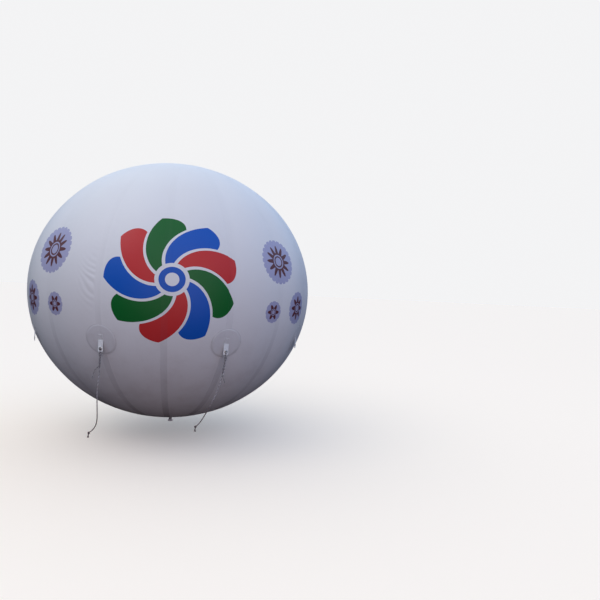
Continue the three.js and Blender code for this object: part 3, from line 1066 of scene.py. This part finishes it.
# The two ends' points from the middle of the tie, in millimetres.
TIE_ENDS = [
    [(2, 16.5, -1), (5, 19.5, -6), (7, 20.5, -16), (6, 21.5, -28)],
    [(-2, 16.5, -1), (-6, 19.5, -5), (-10, 21, -12), (-12, 21, -21)],
]

coil = []
for number in range(TIE_TURNS * TIE_TURN_POINTS + 1):
    angle = TURN * number / TIE_TURN_POINTS
    out = TIE_TURN_R + 0.0003 * math.sin(3 * angle + 0.5)
    rise = (number / TIE_TURN_POINTS - TIE_TURNS / 2) * TIE_TURN_RISE
    coil.append((out * math.sin(angle), out * math.cos(angle), rise))
knot = [
    (
        TIE_KNOT_SIZE * (math.sin(turn) + 2 * math.sin(2 * turn)),
        TIE_KNOT_OUT + TIE_KNOT_SIZE * math.sin(3 * turn),
        TIE_KNOT_HEIGHT * (math.cos(turn) - 2 * math.cos(2 * turn)),
    )
    for turn in np.linspace(0, TURN, 31)
]
strings = []
for points, spacing in (
    (coil, TIE_STEP), (knot, TIE_STEP / 1.5), *((metres(end), TIE_STEP) for end in TIE_ENDS),
):
    points = np.array(points) + (0, 0, TIE_MIDDLE)
    strings.append(swept("tie", smooth_route(points, spacing), TIE_R, sides=10, lay=0.009))
tie = joined("neck_tie_cord", strings)
finish(tie, rope_finish, "neck_tie")


# Patches. A round of film 300 mm across spreads the pull of each tab over its seam, just below the
# balloon's widest line. It is welded like the caps.

TABS = range(1, 9)
TAB_LATITUDE = math.radians(-18.5)
PATCH_R = 0.150
PATCH_PROUD = 0.0022
PATCH_RINGS = 18
MERIDIAN = math.hypot(HALF_WIDTH * math.sin(TAB_LATITUDE), HALF_HEIGHT * math.cos(TAB_LATITUDE))


def beside_tab(tab, right, above):
    """Latitude and longitude of places right of a tab's root and above it, in metres."""
    latitude = TAB_LATITUDE + above / MERIDIAN
    return latitude, (tab_turn(tab) + right / (HALF_WIDTH * np.cos(latitude))) % TURN


patch_finish = round_material("patch_film", PATCH_R)
for tab in TABS:
    weld_round(
        f"patch_{tab}", PATCH_R, PATCH_RINGS, PATCH_PROUD, patch_finish,
        lambda flat: beside_tab(tab, *flat.T),
    )


# Tabs. Coated white webbing, 50 mm wide: its upper end is welded to the patch, and the rest hangs
# straight down, with rounded corners and a hole punched for the eyelet.

TAB_HALF_WIDTH = 0.025
TAB_THICK = 0.0026
TAB_WELD = 0.052
TAB_DROP = 0.110
TAB_PLANE = 1.439236
TAB_CORNER = 0.008
TAB_LIFT = 0.0007
TAB_PROUD = PATCH_PROUD + TAB_LIFT + TAB_THICK / 2
TAB_HINGE = 0.004
TAB_HINGE_LENGTH = 0.012
EYELET_HOLE_R = 0.0099
WEAVE = 0.0022
WELD_BARS = 0.0042
WEBBING_WHITE = (0.78, 0.80, 0.83)
WEBBING_SHADE = (0.64, 0.64, 0.66)
WEBBING_PRESSED = (0.70, 0.70, 0.735)
WEBBING_GRIME = (0.40, 0.37, 0.35)


def tab_half_width(down):
    """Half the strap's width, narrower where its corners are rounded."""
    end = np.minimum(down, TAB_WELD + TAB_DROP - down)
    past = np.maximum(TAB_CORNER - end, 0)
    return TAB_HALF_WIDTH - TAB_CORNER + np.sqrt(np.maximum(TAB_CORNER ** 2 - past ** 2, 0))


def make_tab(tab):
    bpy.ops.mesh.primitive_grid_add(x_subdivisions=20, y_subdivisions=66, size=1)
    strap = added(f"tab_{tab}_strap")
    grid = places_of(strap.data)
    down = (0.5 - grid[:, 1]) * (TAB_WELD + TAB_DROP)
    right = 2 * grid[:, 0] * tab_half_width(down)
    welded = on_envelope(*beside_tab(tab, right, TAB_WELD - down), TAB_PROUD)

    sideways, outwards = tab_axes(tab)
    root_height = HALF_HEIGHT * math.sin(TAB_LATITUDE)
    out = welded @ outwards
    hanging = np.clip((down - TAB_WELD + TAB_HINGE) / TAB_HINGE_LENGTH, 0, 1)
    hanging = hanging * hanging * (3 - 2 * hanging)
    out = out + hanging * (np.maximum(TAB_PLANE, out) - out)
    height = welded[:, 2] + hanging * (root_height + TAB_WELD - down - welded[:, 2])
    upwards = height[:, None] * (0, 0, 1)
    set_places(strap.data, out[:, None] * outwards + right[:, None] * sideways + upwards)
    clear_uv(strap.data)
    set_uv(strap.data, "strap", np.stack((right, down), axis=1))
    thicken(strap, TAB_THICK, 0.0)
    rounder = strap.modifiers.new("soft_edges", "BEVEL")
    rounder.width = 0.0005
    rounder.segments = 2
    rounder.limit_method = "ANGLE"
    apply(strap, rounder)

    bpy.ops.mesh.primitive_cylinder_add(
        vertices=48, radius=EYELET_HOLE_R, depth=0.03,
        location=eyelet_middle(tab), rotation=(math.pi / 2, 0, tab_turn(tab)),
    )
    punch = bpy.context.object
    hole = strap.modifiers.new("hole", "BOOLEAN")
    hole.operation = "DIFFERENCE"
    hole.object = punch
    apply(strap, hole)
    bpy.data.objects.remove(punch)
    bpy.ops.object.shade_smooth_by_angle(angle=math.radians(35))
    return strap


def strap_material():
    """Plain weave under a white coating, pressed flat where it is welded, dusty at the edges."""
    material, place = new_material("coated_webbing")
    across, down = uv_of(place, "strap")
    weave = (waves(down, WEAVE) * waves(across, WEAVE)).math("ABSOLUTE")
    pressed = 1 - step(down, TAB_WELD - 0.010, TAB_WELD - 0.006)
    bars = waves(down + across, WELD_BARS)
    side = step(across.math("ABSOLUTE"), TAB_HALF_WIDTH - 0.0035, TAB_HALF_WIDTH - 0.0005)
    grime = step(noise(place, 48, 5), 0.40, 0.72)
    low = step(down, TAB_WELD + 0.045, TAB_WELD + TAB_DROP)
    base = paint(weave * 0.25, WEBBING_WHITE, WEBBING_SHADE)
    base = paint(pressed * 0.85, base, WEBBING_PRESSED)
    dirt = grime * (0.18 + side * 0.30 + low * 0.18)
    relief = weave * (1 - pressed * 0.8) + bars * pressed * 0.5
    return shade(material, {
        "Base Color": paint(dirt, base, WEBBING_GRIME),
        "Roughness": 0.58 + grime * 0.2 - pressed * 0.12,
        "Normal": bump(relief, 0.00045, 0.8),
    })


strap_finish = strap_material()
for tab in TABS:
    finish(make_tab(tab), strap_finish, f"tab_{tab}")


# Eyelets. Nickelled brass in two parts: a barrel with a domed flange goes through the tab from the
# outside, and is rolled over a flat washer behind it.

# Its section: radius and how far out of the tab, in millimetres.
EYELET_SECTION = [
    (9.0, -1.8), (9.0, 1.8), (9.3, 2.7), (10.2, 3.2), (11.6, 3.3), (13.4, 3.0), (15.0, 2.3),
    (15.9, 1.7), (15.8, 1.4), (12.0, 1.4), (9.8, 1.35), (9.8, -1.35), (12.0, -1.4), (15.4, -1.4),
    (15.9, -1.6), (15.6, -2.1), (13.4, -2.2), (12.2, -2.6), (10.6, -3.0), (9.4, -2.6),
]
NICKEL = (0.58, 0.56, 0.52)
DULL_NICKEL = (0.36, 0.34, 0.31)
BARE_BRASS = (0.50, 0.36, 0.16)
TARNISH = (0.12, 0.11, 0.09)

bpy.ops.mesh.primitive_circle_add(vertices=len(EYELET_SECTION), radius=0.003)
eyelet = added("eyelet_ring")
set_places(eyelet.data, metres([(radius, -out, 0) for radius, out in EYELET_SECTION]))
mode("EDIT")
bpy.ops.mesh.spin(steps=64, angle=TURN, center=(0, 0, 0), axis=(0, 1, 0))
bpy.ops.mesh.select_all(action="SELECT")
bpy.ops.mesh.remove_doubles(threshold=1e-5)
face_outwards()
mode("OBJECT")
bpy.ops.object.shade_smooth_by_angle(angle=math.radians(50))


def eyelet_material():
    """Satin nickel on brass: brass shows at worn edges, and a dark film sits in the roll."""
    material, place = new_material("nickelled_brass")
    across = uv_of(place, "ring")[0]
    dull = step(noise(place, 420, 5), 0.35, 0.72)
    spots = step(noise(place, 1500, 3), 0.62, 0.74)
    worn = (1 - step(across, 0.0094, 0.0102)) * step(noise(place, 240, 4), 0.42, 0.66)
    metal = paint(worn * 0.8, paint(dull, NICKEL, DULL_NICKEL), BARE_BRASS)
    return shade(material, {
        "Base Color": paint(spots * 0.7, metal, TARNISH),
        "Metallic": 1 - spots * 0.6,
        "Roughness": 0.26 + dull * 0.24 + spots * 0.2,
        "Normal": bump(noise(place, 2600, 2), 0.00004, 0.5),
    })


ring = places_of(eyelet.data)
set_uv(eyelet.data, "ring", np.stack((np.hypot(ring[:, 0], ring[:, 2]), -ring[:, 1]), axis=1))
eyelet_finish = eyelet_material()
for tab in TABS:
    placed = bpy.data.objects.new(f"eyelet_{tab}_ring", eyelet.data.copy())
    bpy.context.collection.objects.link(placed)
    turned = Matrix.Rotation(tab_turn(tab), 4, "Z")
    placed.data.transform(Matrix.Translation(eyelet_middle(tab)) @ turned)
    finish(placed, eyelet_finish, f"eyelet_{tab}")
bpy.data.objects.remove(eyelet)


# Studio. A pale floor under the balloon, a pale backdrop, and soft light: bright from above, blue
# on the right and dim from below, with a glow in front and one broad light high on the left.

FLOOR_HEIGHT = -1.62
BACKDROP = (0.90, 0.90, 0.91)
FRONT_GLOW = (1.42, 1.18, 1.26)
KEY_PLACE = Vector((-4.6, -3.8, 5.6))

# The sky's colours on the left and right: place from straight down, 0, to straight up, 1, and
# colour.
LEFT_SKY = [
    (0.00, (0.004, 0.003, 0.004)), (0.48, (0.005, 0.004, 0.006)), (0.55, (0.04, 0.04, 0.05)),
    (0.70, (0.53, 0.66, 0.94)), (0.85, (1.46, 1.58, 1.60)), (1.00, (1.18, 1.20, 1.02)),
]
RIGHT_SKY = [
    (0.00, (0.004, 0.003, 0.004)), (0.46, (0.010, 0.008, 0.010)), (0.55, (0.05, 0.08, 0.20)),
    (0.70, (0.62, 0.95, 1.42)), (0.85, (0.28, 0.48, 0.88)), (1.00, (0.10, 0.19, 0.34)),
]

bpy.ops.mesh.primitive_plane_add(size=400, location=(0, 0, FLOOR_HEIGHT))
floor = added("floor")
floor.visible_diffuse = floor.visible_glossy = floor.visible_shadow = False
floor_finish, _ = new_material("pale_floor")
floor_finish.cycles.emission_sampling = "NONE"
shade(floor_finish, {
    "Base Color": (0.95, 0.80, 0.67),
    "Roughness": 1.0,
    "Specular IOR Level": 0.0,
    "Emission Color": (1.0, 1.0, 1.0),
    "Emission Strength": 0.22,
})
floor.data.materials.append(floor_finish)

world = bpy.data.worlds.new("studio")
world.use_nodes = True
bpy.context.scene.world = world
sky = Wire(world.node_tree)
east, north, rise = axes_of(sky.node("ShaderNodeTexCoord", {}, {}, "Generated"))
height = rise * 0.5 + 0.5
left = height.node("ShaderNodeValToRGB", {"stops": LEFT_SKY}, {0: height})
right = height.node("ShaderNodeValToRGB", {"stops": RIGHT_SKY}, {0: height})
glow = paint(east * 0.5 + 0.5, left, right)
ahead = step(east * 0.15 - north + rise * 0.20, 0.76, 1.0)
glow = paint(ahead * 0.75, glow, FRONT_GLOW)
seen = sky.node("ShaderNodeLightPath", {}, {}, "Is Camera Ray")
backdrop = paint(seen, glow, BACKDROP)
connect(world.node_tree, world.node_tree.nodes["Background"], {"Color": backdrop})

bpy.ops.object.light_add(type="AREA", location=KEY_PLACE)
key = added("soft_key")
key.data.size = 4.0
key.data.energy = 50
key.data.color = (1.0, 0.98, 0.97)
key.visible_camera = False
key.rotation_euler = (-KEY_PLACE).to_track_quat("-Z", "Y").to_euler()
bpy.context.scene.view_settings.view_transform = "Standard"
